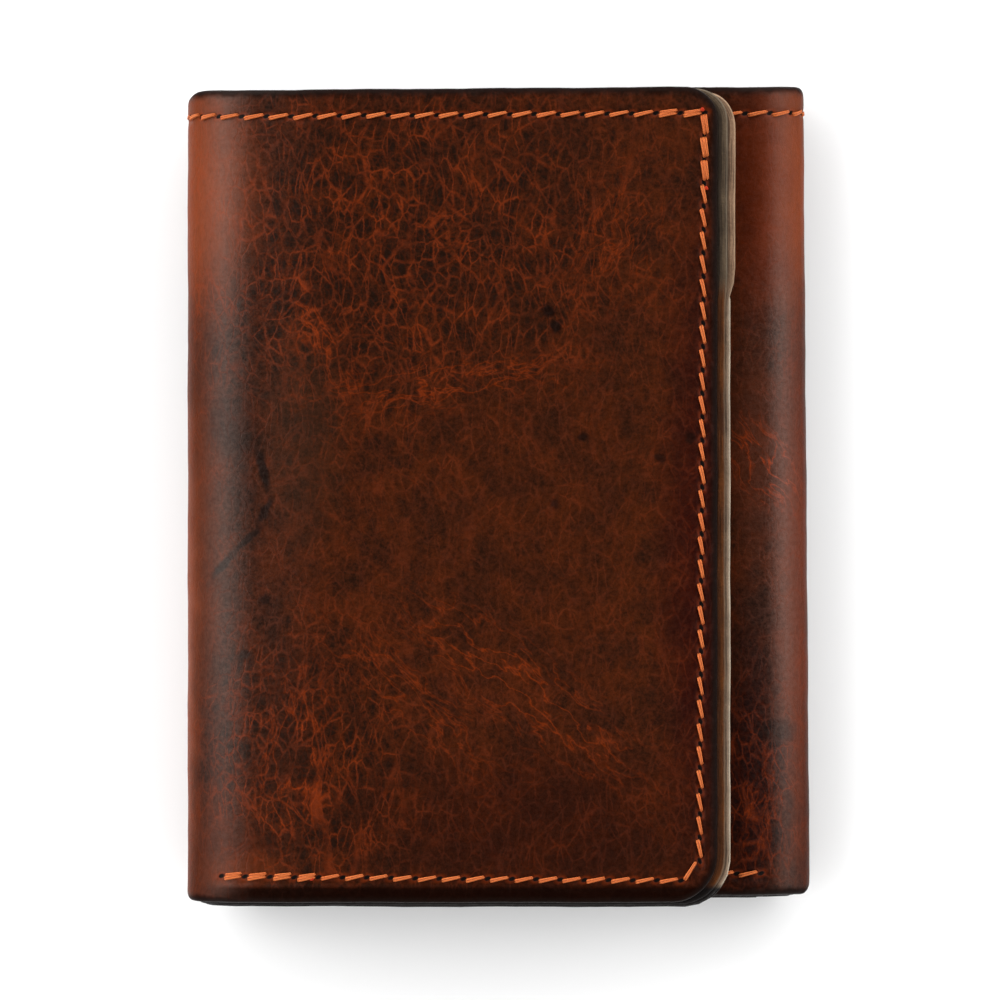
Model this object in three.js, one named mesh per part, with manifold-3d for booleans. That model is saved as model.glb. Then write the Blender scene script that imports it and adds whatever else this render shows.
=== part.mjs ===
// A leather trifold wallet, closed. It lies on its back panel: X is its width, Y its height, and +Z points out of
// its front. From the back, the inner panel folds over from the right and the flap folds over it from the left.
// The shell, the lining and the divider are one sheet each, which runs through the three panels and both folds.
// Each is split where it bends, into a flat piece for every panel and a bent piece for every fold.

import * as THREE from 'three';
import { mergeVertices } from 'three/addons/utils/BufferGeometryUtils.js';
import Module from 'manifold-3d';

const wasm = await Module();
wasm.setup();

// Outside size of the closed wallet, millimetres
const WIDTH = 81.4;
const HEIGHT = 108;
const FLAP_REACH = 72; // from the left fold's outside to the flap's free edge
const INNER_REACH = 62; // from where the right fold ends to the inner panel's free edge

// The plies of a panel, from its outside to its inside. gap is what each leaves to the one before it. setback is how
// far it stops short of the panel's free edge: the inner plies stand further out, so the sewn edge slopes.
const PLY_GAP = 0.05;
const BANKNOTE_GAP = 0.4;
const PANEL_GAP = 0.5;
const PLIES = [
  { name: 'shell', thickness: 1.6, gap: 0, setback: 2.2 },
  { name: 'lining', thickness: 0.6, gap: PLY_GAP, setback: 1.7 },
  { name: 'divider', thickness: 0.7, gap: BANKNOTE_GAP, setback: 1.2 },
  { name: 'rear_pocket', thickness: 0.7, gap: PLY_GAP, setback: 0.6 },
  { name: 'middle_pocket', thickness: 0.7, gap: PLY_GAP, setback: 0 },
  { name: 'front_pocket', thickness: 0.7, gap: PLY_GAP, setback: 0.45 },
];

// The bottom edge slopes evenly, by this much from one ply to the next
const BOTTOM_STEP = 0.24;
const DIVIDER_TOP_DROP = 5;
const LINING_TOP_DROP = 0.2;

// Card pockets, with heights measured from the bottom edge
const POCKET_TOPS = { rear_pocket: 101, middle_pocket: 91, front_pocket: 81 };
const POCKET_FEET = { rear_pocket: 19, middle_pocket: 11.5 };
const POCKET_BAR = 14; // height of the T's bar
const POCKET_WAIST = 4.5; // how far the T's stem is cut in from each side
const POCKET_TO_FOLD = 1;

// Corners
const TOP_CORNER = 4.3;
const BOTTOM_CORNER = 6.2;
const SMALL_CORNER = 1.5;

// Seams: a bead of thread in a groove
const THREAD = 0.6;
const POCKET_THREAD = 0.36;
const THREAD_CHAMFER = 0.12;
const GROOVE_SIDE = 0.12; // room between the thread and each side of its groove
const TOP_SEAM_DROP = 3.5;
const BOTTOM_SEAM_RISE = 3.7;
const EDGE_SEAM_INSET = 3.9;
const SEAM_CORNER = 2.2;
const SEAM_TO_FOLD = 2.2;
const POCKET_SEAM_INSET = 2.2;
const FOOT_SEAM_RISE = 2;
const SEAM_BREAK = 0.3; // between two runs of thread

// Smoothness
const CORNER_STEPS = 6;
const FOLD_STEPS = 20;

// Sizes that follow from the ones above
const PANEL = PLIES.reduce((sum, ply) => sum + ply.gap + ply.thickness, 0);
const DEPTH = 3 * PANEL + 2 * PANEL_GAP;
const INNER_TOP = 2 * PANEL + PANEL_GAP;
const TOP = HEIGHT / 2;
const BOTTOM = -HEIGHT / 2;
const LEFT_FOLD = { x: -WIDTH / 2 + DEPTH / 2, z: DEPTH / 2, radius: DEPTH / 2, from: 90, to: 270 };
const RIGHT_FOLD = { x: WIDTH / 2 - INNER_TOP / 2, z: INNER_TOP / 2, radius: INNER_TOP / 2, from: -90, to: 90 };
const SHELL_BOTTOM = BOTTOM + BOTTOM_STEP * (PLIES.length - 1);

// A panel's outside lies at z = outside, and its inside is the way of inward. free is +1 or -1 where the panel
// ends in a free edge on its right or left, and 0 where both sides end in a fold.
const PANELS = {
  back: { outside: 0, inward: 1, left: LEFT_FOLD.x, right: RIGHT_FOLD.x, free: 0 },
  inner_panel: {
    outside: INNER_TOP,
    inward: -1,
    left: RIGHT_FOLD.x - INNER_REACH,
    right: RIGHT_FOLD.x,
    free: -1,
  },
  flap: { outside: DEPTH, inward: -1, left: LEFT_FOLD.x, right: FLAP_REACH - WIDTH / 2, free: 1 },
};
const FOLDS = { left_fold: LEFT_FOLD, right_fold: RIGHT_FOLD };

const wallet = new THREE.Group();

const MATERIALS = {
  shell: { color: 0x45200f, roughness: 0.45, metalness: 0 },
  lining: { color: 0x5a3218, roughness: 0.75, metalness: 0 },
  divider: { color: 0x7a4e2e, roughness: 0.7, metalness: 0 },
  pocket: { color: 0x8a5a36, roughness: 0.65, metalness: 0 },
  thread: { color: 0xe67337, roughness: 0.6, metalness: 0 },
};

function add(name, kind, geometry) {
  const mesh = new THREE.Mesh(geometry, new THREE.MeshStandardMaterial(MATERIALS[kind]));
  mesh.name = name;
  wallet.add(mesh);
}

// ---- plane outlines -------------------------------------------------------------------------------------------

function arc(x, y, radius, from, to, steps) {
  return Array.from({ length: steps + 1 }, (_, i) => {
    const angle = THREE.MathUtils.degToRad(from + ((to - from) * i) / steps);
    return new THREE.Vector2(x + radius * Math.cos(angle), y + radius * Math.sin(angle));
  });
}

function corner(x, y, radius, insideX, insideY, from) {
  if (radius === 0) return [new THREE.Vector2(x, y)];
  return arc(x + insideX * radius, y + insideY * radius, radius, from, from + 90, CORNER_STEPS);
}

// A rectangle with its own radius at each corner
function rectangle({ left, right, bottom, top }, { bottomLeft = 0, bottomRight = 0, topRight = 0, topLeft = 0 }) {
  return [
    ...corner(left, bottom, bottomLeft, 1, 1, 180),
    ...corner(right, bottom, bottomRight, -1, 1, 270),
    ...corner(right, top, topRight, -1, -1, 0),
    ...corner(left, top, topLeft, 1, -1, 90),
  ];
}

// A rectangle whose rounded corners are on the panel's free side
function panelOutline(box, free, bottomRadius, topRadius) {
  if (free > 0) return rectangle(box, { bottomRight: bottomRadius, topRight: topRadius });
  if (free < 0) return rectangle(box, { bottomLeft: bottomRadius, topLeft: topRadius });
  return rectangle(box, {});
}

// A T: a bar across the top, and a narrower stem down to the foot
function teeOutline({ left, right, top }, foot) {
  const waist = top - POCKET_BAR;
  const stem = { left: left + POCKET_WAIST, right: right - POCKET_WAIST };
  return [
    [stem.left, foot],
    [stem.right, foot],
    [stem.right, waist],
    [right, waist],
    [right, top],
    [left, top],
    [left, waist],
    [stem.left, waist],
  ].map(([x, y]) => new THREE.Vector2(x, y));
}

// A strip of the given width that runs along the bottom from start, round a corner and up the free side to end
function cornerStrip({ start, side, bottom, end, free }, width) {
  const half = width / 2;
  const turn = SEAM_CORNER;
  const outer = arc(side - turn, bottom + turn, turn + half, 270, 360, CORNER_STEPS);
  const inner = arc(side - turn, bottom + turn, turn - half, 360, 270, CORNER_STEPS);
  const points = [
    new THREE.Vector2(start, bottom - half),
    ...outer,
    new THREE.Vector2(side + half, end),
    new THREE.Vector2(side - half, end),
    ...inner,
    new THREE.Vector2(start, bottom + half),
  ];
  return points.map((point) => new THREE.Vector2(point.x * free, point.y));
}

function straightStrip({ left, right, bottom, top }) {
  return rectangle({ left, right, bottom, top }, {});
}

// ---- solids ---------------------------------------------------------------------------------------------------

function slab(outline, low, high) {
  const options = { depth: high - low, bevelEnabled: false };
  return new THREE.ExtrudeGeometry(new THREE.Shape(outline), options).translate(0, 0, low);
}

// A bead of thread that fills the outline between low and high, with chamfered long edges
function bead(outline, low, high) {
  const options = {
    depth: high - low - 2 * THREAD_CHAMFER,
    bevelThickness: THREAD_CHAMFER,
    bevelSize: THREAD_CHAMFER,
    bevelOffset: -THREAD_CHAMFER,
    bevelSegments: 1,
  };
  const geometry = new THREE.ExtrudeGeometry(new THREE.Shape(outline), options);
  return geometry.translate(0, 0, low + THREAD_CHAMFER);
}

// Stands a shape that was drawn in X and Z, and extruded in Y, with its far end at y = top
function stand(geometry, top) {
  return geometry.rotateX(Math.PI / 2).translate(0, top, 0);
}

function ring(fold, outer, inner) {
  return [
    ...arc(fold.x, fold.z, outer, fold.from, fold.to, FOLD_STEPS),
    ...arc(fold.x, fold.z, inner, fold.to, fold.from, FOLD_STEPS),
  ];
}

function solid(geometry) {
  const bare = geometry.clone();
  bare.deleteAttribute('normal');
  bare.deleteAttribute('uv');
  const merged = mergeVertices(bare);
  const triVerts = Uint32Array.from(merged.index.array);
  return new wasm.Manifold(
    new wasm.Mesh({ numProp: 3, vertProperties: merged.attributes.position.array, triVerts })
  );
}

function cut(geometry, cutters) {
  const left = cutters.reduce((body, cutter) => body.subtract(solid(cutter)), solid(geometry));
  const mesh = left.getMesh();
  const result = new THREE.BufferGeometry();
  result.setAttribute('position', new THREE.BufferAttribute(mesh.vertProperties, 3));
  result.setIndex(new THREE.BufferAttribute(mesh.triVerts, 1));
  return result;
}

// ---- the plies ------------------------------------------------------------------------------------------------

// How far a ply's outer face lies inside the panel's outside
function plyDepth(index) {
  return PLIES.slice(0, index).reduce((sum, ply) => sum + ply.gap + ply.thickness, PLIES[index].gap);
}

function plyHeights(panel, index) {
  const outer = panel.outside + panel.inward * plyDepth(index);
  const inner = outer + panel.inward * PLIES[index].thickness;
  return [Math.min(outer, inner), Math.max(outer, inner)];
}

function plyBottom(index) {
  return BOTTOM + BOTTOM_STEP * (PLIES.length - 1 - index);
}

// A ply's box in the plane of its panel. A sheet that runs on into a fold stops just short of it.
function plyBox(panel, index, top) {
  const { setback } = PLIES[index];
  const isPocket = PLIES[index].name in POCKET_TOPS;
  const foldSide = isPocket ? POCKET_TO_FOLD : PLY_GAP;
  return {
    left: panel.left + (panel.free < 0 ? setback : foldSide),
    right: panel.right - (panel.free > 0 ? setback : foldSide),
    bottom: plyBottom(index),
    top,
  };
}

function sheetTop(index) {
  const drops = { shell: 0, lining: LINING_TOP_DROP, divider: DIVIDER_TOP_DROP };
  return TOP - drops[PLIES[index].name];
}

function pocketBox(panel, index) {
  return plyBox(panel, index, BOTTOM + POCKET_TOPS[PLIES[index].name]);
}

// ---- where the seams run --------------------------------------------------------------------------------------

function topSeam(panel, panelName) {
  const atFree = EDGE_SEAM_INSET - THREAD / 2;
  const atFold = panelName === 'back' ? PLY_GAP : 0;
  return {
    left: panel.left + (panel.free < 0 ? atFree : atFold + PLY_GAP),
    right: panel.right - (panel.free > 0 ? atFree : atFold + PLY_GAP),
    bottom: TOP - TOP_SEAM_DROP - THREAD / 2,
    top: TOP - TOP_SEAM_DROP + THREAD / 2,
  };
}

// Mirrored for a panel whose free edge is on the left, so its numbers are taken towards the free edge
function edgeSeam(panel) {
  const freeEdge = panel.free > 0 ? panel.right : -panel.left;
  const foldEdge = panel.free > 0 ? panel.left : -panel.right;
  return {
    start: foldEdge + SEAM_TO_FOLD,
    side: freeEdge - EDGE_SEAM_INSET,
    bottom: BOTTOM + BOTTOM_SEAM_RISE,
    end: TOP - TOP_SEAM_DROP - THREAD / 2 - SEAM_BREAK,
    free: panel.free,
  };
}

function bottomSeam(panel) {
  return {
    left: panel.left + SEAM_TO_FOLD,
    right: panel.right - SEAM_TO_FOLD,
    bottom: BOTTOM + BOTTOM_SEAM_RISE - THREAD / 2,
    top: BOTTOM + BOTTOM_SEAM_RISE + THREAD / 2,
  };
}

function grown(box, by) {
  return { left: box.left - by, right: box.right + by, bottom: box.bottom - by, top: box.top + by };
}

// The heights of a groove in a face at z = face, where into is the way into the leather, and of its thread
function grooveHeights(face, into, thread) {
  const floor = face + into * (thread + PLY_GAP);
  const above = face - into * thread;
  return [Math.min(floor, above), Math.max(floor, above)];
}

function threadHeights(face, into, thread) {
  const deep = face + into * thread;
  return [Math.min(face, deep), Math.max(face, deep)];
}

// A groove and its thread in a flat face. Both follow the same strip.
function straightSeam(box, face, into, thread) {
  return {
    groove: slab(straightStrip(grown(box, GROOVE_SIDE)), ...grooveHeights(face, into, thread)),
    thread: bead(straightStrip(box), ...threadHeights(face, into, thread)),
  };
}

function cornerSeam(route, face, into) {
  const longer = { ...route, start: route.start - GROOVE_SIDE, end: route.end + GROOVE_SIDE };
  const groove = cornerStrip(longer, THREAD + 2 * GROOVE_SIDE);
  return {
    groove: slab(groove, ...grooveHeights(face, into, THREAD)),
    thread: bead(cornerStrip(route, THREAD), ...threadHeights(face, into, THREAD)),
  };
}

// ---- shell, lining and divider --------------------------------------------------------------------------------

function addShell(panelName, panel) {
  const box = plyBox(panel, 0, sheetTop(0));
  const sheet = slab(panelOutline(box, panel.free, BOTTOM_CORNER, TOP_CORNER), ...plyHeights(panel, 0));
  const top = straightSeam(topSeam(panel, panelName), panel.outside, panel.inward, THREAD);
  const lower = panel.free
    ? cornerSeam(edgeSeam(panel), panel.outside, panel.inward)
    : straightSeam(bottomSeam(panel), panel.outside, panel.inward, THREAD);
  // the top groove opens into the fold's groove
  const opened = slab(
    straightStrip(grown(topSeam(panel, panelName), GROOVE_SIDE)),
    ...grooveHeights(panel.outside, panel.inward, THREAD)
  );
  add(`shell_${panelName}`, 'shell', cut(sheet, [opened, lower.groove]));
  add(`top_seam_${panelName}`, 'thread', top.thread);
  add(`${panelName}_${panel.free ? 'edge' : 'bottom'}_seam`, 'thread', lower.thread);
}

function addSheet(name, index, panelName, panel) {
  const outline = panelOutline(plyBox(panel, index, sheetTop(index)), panel.free, BOTTOM_CORNER, TOP_CORNER);
  add(`${name}_${panelName}`, name, slab(outline, ...plyHeights(panel, index)));
}

function foldRing(fold, index, bottom, top) {
  const outer = fold.radius - plyDepth(index);
  const inner = outer - PLIES[index].thickness;
  return stand(slab(ring(fold, outer, inner), 0, top - bottom), top);
}

function addFoldSheets(foldName, fold) {
  const seamTop = TOP - TOP_SEAM_DROP + THREAD / 2;
  const groove = ring(fold, fold.radius + THREAD, fold.radius - THREAD - PLY_GAP);
  const grooveWidth = THREAD + 2 * GROOVE_SIDE;
  const channel = stand(slab(groove, 0, grooveWidth), seamTop + GROOVE_SIDE);
  add(`shell_${foldName}`, 'shell', cut(foldRing(fold, 0, SHELL_BOTTOM, TOP), [channel]));
  add(`top_seam_${foldName}`, 'thread', stand(bead(ring(fold, fold.radius, fold.radius - THREAD), 0, THREAD), seamTop));
  add(`lining_${foldName}`, 'lining', foldRing(fold, 1, plyBottom(1), sheetTop(1)));
  add(`divider_${foldName}`, 'divider', foldRing(fold, 2, plyBottom(2), sheetTop(2)));
}

// ---- card pockets ---------------------------------------------------------------------------------------------

function innerFace(panel, index) {
  return panel.outside + panel.inward * (plyDepth(index) + PLIES[index].thickness);
}

function addTeePocket(panelName, panel, index) {
  const { name } = PLIES[index];
  const box = pocketBox(panel, index);
  const foot = BOTTOM + POCKET_FEET[name];
  const seam = straightSeam(
    {
      left: box.left + POCKET_WAIST + FOOT_SEAM_RISE,
      right: box.right - POCKET_WAIST - FOOT_SEAM_RISE,
      bottom: foot + FOOT_SEAM_RISE - POCKET_THREAD / 2,
      top: foot + FOOT_SEAM_RISE + POCKET_THREAD / 2,
    },
    innerFace(panel, index),
    -panel.inward,
    POCKET_THREAD
  );
  add(`${panelName}_${name}`, 'pocket', cut(slab(teeOutline(box, foot), ...plyHeights(panel, index)), [seam.groove]));
  add(`${panelName}_${name}_foot_seam`, 'thread', seam.thread);
}

// The vertical seams that close the front pocket beside a fold
function foldSideSeams(panel, box) {
  const sides = [];
  if (panel.free <= 0) sides.push({ name: 'right', x: box.right - POCKET_SEAM_INSET });
  if (panel.free >= 0) sides.push({ name: 'left', x: box.left + POCKET_SEAM_INSET });
  return sides.map(({ name, x }) => {
    const strip = {
      left: x - POCKET_THREAD / 2,
      right: x + POCKET_THREAD / 2,
      bottom: BOTTOM + BOTTOM_SEAM_RISE,
      top: box.top - POCKET_SEAM_INSET,
    };
    const last = PLIES.length - 1;
    return { name, ...straightSeam(strip, innerFace(panel, last), -panel.inward, POCKET_THREAD) };
  });
}

function addFrontPocket(panelName, panel, index) {
  const box = pocketBox(panel, index);
  const seams = foldSideSeams(panel, box);
  const sheet = slab(panelOutline(box, panel.free, BOTTOM_CORNER, SMALL_CORNER), ...plyHeights(panel, index));
  add(`${panelName}_front_pocket`, 'pocket', cut(sheet, seams.map((seam) => seam.groove)));
  seams.forEach((seam) => add(`${panelName}_${seam.name}_pocket_seam`, 'thread', seam.thread));
}

function addPanel(panelName, panel) {
  addShell(panelName, panel);
  addSheet('lining', 1, panelName, panel);
  addSheet('divider', 2, panelName, panel);
  addTeePocket(panelName, panel, 3);
  addTeePocket(panelName, panel, 4);
  addFrontPocket(panelName, panel, 5);
}

Object.entries(PANELS).forEach(([name, panel]) => addPanel(name, panel));
Object.entries(FOLDS).forEach(([name, fold]) => addFoldSheets(name, fold));

export default wallet;
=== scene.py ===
"""A leather trifold wallet, closed, seen straight down on its flap.

Every sheet of leather is drawn flat first, in leather coordinates. u rises from the inner panel's free edge
over the right fold, along the back and over the left fold to the flap's free edge. v is the height, and h the
depth below the wallet's outside, all in millimetres. place() bends the sheets round the folds.
"""

import functools
import math

import bpy
import numpy as np
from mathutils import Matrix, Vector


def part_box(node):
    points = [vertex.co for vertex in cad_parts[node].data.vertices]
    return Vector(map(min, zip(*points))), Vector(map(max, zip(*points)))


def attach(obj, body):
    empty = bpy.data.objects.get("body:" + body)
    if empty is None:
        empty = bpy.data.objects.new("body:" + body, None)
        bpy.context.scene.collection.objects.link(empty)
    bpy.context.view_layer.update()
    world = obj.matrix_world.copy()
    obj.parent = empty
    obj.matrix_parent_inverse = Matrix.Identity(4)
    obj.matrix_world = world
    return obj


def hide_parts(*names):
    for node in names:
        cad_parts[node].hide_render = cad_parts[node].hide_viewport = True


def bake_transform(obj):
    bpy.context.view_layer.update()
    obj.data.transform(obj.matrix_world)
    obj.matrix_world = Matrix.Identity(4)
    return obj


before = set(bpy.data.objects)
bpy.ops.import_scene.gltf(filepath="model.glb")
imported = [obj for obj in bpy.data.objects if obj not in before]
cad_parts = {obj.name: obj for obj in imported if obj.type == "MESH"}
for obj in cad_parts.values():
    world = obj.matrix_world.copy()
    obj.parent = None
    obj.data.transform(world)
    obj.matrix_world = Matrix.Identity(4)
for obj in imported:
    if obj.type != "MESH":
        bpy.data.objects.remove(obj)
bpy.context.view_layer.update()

MM = 0.001
random = np.random.default_rng(11)


def node_box(node):
    low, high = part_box(node)
    return np.array(low) / MM, np.array(high) / MM


# ---- where the frame's panels and folds are ----

left_low, left_high = node_box("shell_left_fold")
right_low, right_high = node_box("shell_right_fold")
LEFT_X = left_high[0]
LEFT_RADIUS = (left_high[2] - left_low[2]) / 2
RIGHT_X = right_low[0]
RIGHT_RADIUS = (right_high[2] - right_low[2]) / 2
DEPTH = left_high[2]
INNER_TOP = right_high[2]

# u where each stretch of leather begins
U_LEFT_TOP = LEFT_X
U_LEFT_MIDDLE = U_LEFT_TOP - LEFT_RADIUS * math.pi / 2
U_LEFT_BACK = U_LEFT_TOP - LEFT_RADIUS * math.pi
U_RIGHT_BACK = U_LEFT_BACK - (RIGHT_X - LEFT_X)
U_RIGHT_MIDDLE = U_RIGHT_BACK - RIGHT_RADIUS * math.pi / 2
U_RIGHT_TOP = U_RIGHT_BACK - RIGHT_RADIUS * math.pi
U_BACK_MIDDLE = (U_LEFT_BACK + U_RIGHT_BACK) / 2
INNER_SHIFT = U_RIGHT_TOP - RIGHT_X  # from x to u on the inner panel
BACK_SHIFT = U_LEFT_BACK + LEFT_X  # u = BACK_SHIFT - x on the back

# How the real wallet is a little out of true
TURN = math.radians(0.45)  # of everything right of the left fold, seen from above
FLAP_RISE = 0.0075  # of the flap's top edge, along its width
RISE_OVER = (-40, 54)  # v between which that rise comes in
CROWN = 0.35  # how much higher the flap's middle lies than its edges
CROWN_REACH = (40, 54)  # half the width and height that the crown is measured over
EDGE_WAVES = ((0.03, 0.31, 1.0), (0.015, 0.83, 2.3), (0.008, 1.7, 0.4))  # size in mm, radians per mm, phase
SIDE_WAVES = (0.9, 20, (20, 30))  # the sides' waves: their stretch, their shift, and where they come in
# From and to which distance from the middle, and by how much: the folds stand out, since the leather springs
# open a little, and the flap falls off before the left fold
LEFT_BULGE = (28, 41, 0.42)
RIGHT_BULGE = (30, 41, 0.36)
SHOULDER = (20, 35, 0.6)


def ease(value, low, high):
    t = np.clip((value - low) / (high - low), 0, 1)
    return t * t * (3 - 2 * t)


def reach(value, low, high, amount):
    """A smooth step from 0 at low to amount at high."""
    return amount * ease(value, low, high)


def bend(u, h):
    """x and z of a point that lies u along the leather and h below the outside."""
    left = (U_LEFT_TOP - u) / LEFT_RADIUS
    right = (U_RIGHT_BACK - u) / RIGHT_RADIUS
    where = [u >= U_LEFT_TOP, u > U_LEFT_BACK, u >= U_RIGHT_BACK, u > U_RIGHT_TOP]
    in_left, in_right = LEFT_RADIUS - h, RIGHT_RADIUS - h
    xs = [u, LEFT_X - in_left * np.sin(left), BACK_SHIFT - u, RIGHT_X + in_right * np.sin(right)]
    zs = [DEPTH - h, LEFT_RADIUS + in_left * np.cos(left), h, RIGHT_RADIUS - in_right * np.cos(right)]
    return np.select(where, xs, u - INNER_SHIFT), np.select(where, zs, INNER_TOP - h)


def waves(along):
    return sum(size * np.sin(rate * along + phase) for size, rate, phase in EDGE_WAVES)


def place(points):
    """Leather coordinates in millimetres to the frame's coordinates in metres."""
    u, v, h = points[:, 0], points[:, 1], points[:, 2]
    x, z = bend(u, h)
    on_flap = ease(u, U_LEFT_MIDDLE, U_LEFT_TOP)
    y = v + on_flap * FLAP_RISE * (x - LEFT_X) * ease(v, *RISE_OVER)
    turned = TURN * ease(-u, -U_LEFT_MIDDLE, -U_LEFT_BACK)
    x, y = x - turned * y, y + turned * (x - LEFT_X)
    y = y + waves(x)
    stretch, shift, sides = SIDE_WAVES
    x = x + waves(y * stretch + shift) * ease(abs(x), *sides)
    x = x - reach(-x, *LEFT_BULGE) + reach(x, *RIGHT_BULGE) * (u < U_LEFT_MIDDLE)
    off = [np.clip(value / half, -1, 1) ** 4 for value, half in zip((x, y), CROWN_REACH)]
    crown = 1 - (off[0] + off[1]) / 2
    z = z + (CROWN * (crown - 0.5) - reach(-x, *SHOULDER)) * z / DEPTH
    return np.stack([x, y, z], axis=1) * MM


# ---- meshes ----


def link(name, data, place_at=(0, 0, 0)):
    made = bpy.data.objects.new(name, data)
    made.location = place_at
    bpy.context.scene.collection.objects.link(made)
    return made


def set_vectors(mesh, name, vectors):
    data = mesh.attributes.new(name, "FLOAT_VECTOR", "POINT").data
    data.foreach_set("vector", vectors.astype(np.float32).ravel())


def make_object(name, points, faces, material, floats, sharp=()):
    """A smooth-shaded object. points are leather coordinates, which it keeps in its attribute called leather.
    floats are its other attributes. Edges between two of the points in sharp are sharp.
    """
    mesh = bpy.data.meshes.new(name)
    mesh.from_pydata(place(points).tolist(), [], faces)
    set_vectors(mesh, "leather", points)
    for key, values in floats.items():
        mesh.attributes.new(key, "FLOAT", "POINT").data.foreach_set("value", np.asarray(values, np.float32))
    mesh.shade_smooth()
    if len(sharp):
        ends = np.zeros(len(mesh.edges) * 2, np.int32)
        mesh.edges.foreach_get("vertices", ends)
        is_sharp = np.isin(ends.reshape(-1, 2), sharp).all(axis=1)
        mesh.attributes.new("sharp_edge", "BOOLEAN", "EDGE").data.foreach_set("value", is_sharp)
    mesh.materials.append(material)
    return link(name, mesh)


def spread(start, stop, step):
    """Evenly spaced values from start to stop, about step apart, without stop itself."""
    count = max(1, round(abs(stop - start) / step))
    return start + (stop - start) * np.arange(count) / count


# Distances from an edge at which its rounding and its burnishing are drawn
NEAR_EDGE = np.array([0, 0.05, 0.14, 0.27, 0.44, 0.65, 0.9, *np.arange(12, 40, 3) / 10, 4.3, 4.8])


def ladder(low, high, step, near=NEAR_EDGE):
    """Values from low to high, close together near both ends."""
    middle = spread(low + near[-1], high - near[-1], step)[1:]
    return np.concatenate([low + near, middle, (high - near)[::-1]])


def round_corner(a, b, radius):
    """Insets from two sides, moved so that square rings become round ones near the corner."""
    p = np.clip(1 - a / radius, 0, None)
    q = np.clip(1 - b / radius, 0, None)
    most, least = np.maximum(p, q), np.minimum(p, q)
    angle = math.pi / 4 * least / np.where(most > 0, most, 1)
    long_way, short_way = radius * (1 - most * np.cos(angle)), radius * (1 - most * np.sin(angle))
    new_a = np.where(p >= q, long_way, short_way)
    new_b = np.where(p >= q, short_way, long_way)
    return np.where(least > 0, new_a, a), np.where(least > 0, new_b, b)


def grid_faces(keep):
    """A grid's quads, one per kept cell, and their outline as directed edges."""
    rows, columns = keep.shape
    index = np.arange((rows + 1) * (columns + 1)).reshape(rows + 1, columns + 1)
    i, j = np.nonzero(keep)
    quads = np.stack([index[i, j], index[i + 1, j], index[i + 1, j + 1], index[i, j + 1]], axis=1)
    sides = np.concatenate([quads[:, [k, (k + 1) % 4]] for k in range(4)])
    found = {}
    for a, b in sides.tolist():
        if not found.pop((b, a), None):
            found[(a, b)] = True
    return quads, np.array(list(found))


EDGE_FALL = 0.48  # how far each face falls at the edge, of the thickness


def edge_fall(inset, dome, thickness):
    """How far a face has fallen at a distance from the edge, if its rounding starts dome away from it."""
    return thickness * EDGE_FALL * (1 - np.sqrt(1 - np.clip(1 - inset / dome, 0, 1) ** 2))


def slab(name, us, vs, top, thickness, material, dome, corners=None, keep=None, inset=None, shape=None,
         sink=None, relief=None, cuts=()):
    """A sheet of leather on the grid us x vs, with its outer face at depth top and rounded edges.

    dome is how far in from the edge the rounding starts. corners is (free u, bottom radius, top radius). keep
    says which cells are there. inset gives each grid point's distance to the sheet's edge. shape moves u and v,
    sink adds to the depth of both faces, and relief to the outer face's. cuts are the values of u where the
    piece is cut off square from the next one.
    """
    u, v = np.meshgrid(us, vs)
    low, high = vs[0], vs[-1]
    from_bottom, from_top = v - low, high - v
    from_edge = np.full_like(u, np.inf)
    if corners:
        free, bottom_radius, top_radius = corners
        from_edge = np.abs(free - u)
        edge_b, bottom_b = round_corner(from_edge, from_bottom, bottom_radius)
        edge_t, top_b = round_corner(from_edge, from_top, top_radius)
        side = -1 if free == max(us) else 1
        upper = from_top < from_bottom
        u = free + side * np.where(upper, edge_t, edge_b)
        v = np.where(upper, high - top_b, low + bottom_b)
    inset = inset(u, v) if inset else np.minimum(np.minimum(from_bottom, from_top), from_edge)
    face = top + (sink(u, v) if sink else 0)
    outer = face + edge_fall(inset, dome, thickness) + (relief(u, v) if relief else 0)
    inner = face + thickness - edge_fall(inset, dome / 2, thickness)
    if shape:
        u, v = shape(u, v)
    quads, rim = grid_faces(np.ones((len(vs) - 1, len(us) - 1), bool) if keep is None else keep)
    used = np.unique(quads)
    count = len(used)
    new = np.full(u.size, -1)
    new[used] = np.arange(count)
    quads, rim = new[quads], new[rim]
    u, v, outer, inner, inset = (values.ravel()[used] for values in (u, v, outer, inner, inset))
    on_rim = np.unique(rim)
    ring_of = np.full(count, -1)
    ring_of[on_rim] = 2 * count + np.arange(len(on_rim))
    middle = (outer + inner) / 2
    every = np.arange(count)
    layers = ((every, outer), (every, inner), (on_rim, middle))
    points = np.concatenate([np.column_stack([u[which], v[which], h[which]]) for which, h in layers])
    a, b = rim.T
    faces = quads[:, ::-1].tolist() + (quads + count).tolist()
    faces += np.stack([a, b, ring_of[b], ring_of[a]], axis=1).tolist()
    faces += np.stack([ring_of[a], ring_of[b], b + count, a + count], axis=1).tolist()
    sharp = np.nonzero(np.isin(points[:, 0].round(6), np.round(cuts, 6)))[0]
    insets = np.concatenate([inset[which] for which, h in layers])
    inner_side = np.repeat([0, 1, 0.5], [count, count, len(on_rim)])
    return make_object(name, points, faces, material, {"inset": insets, "inner": inner_side}, sharp)


# ---- materials ----


DAYLIGHT, SHINE = 1.7, 0.005  # what the studio light multiplies a flat surface's colour by, and adds to it
DARKEST = 0.0004


def seen(red, green, blue, shine=SHINE):
    """The surface colour that looks like the given one, in sRGB's 0 to 255, under the studio light."""
    values = [c / 255 for c in (red, green, blue)]
    linear = [c / 12.92 if c <= 0.04045 else ((c + 0.055) / 1.055) ** 2.4 for c in values]
    return [max((c - shine) / DAYLIGHT, DARKEST) for c in linear] + [1.0]


def darker(colour, share):
    return [c * share for c in colour[:3]] + [1.0]


BUMP_DISTANCE = 0.1 * MM


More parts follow.
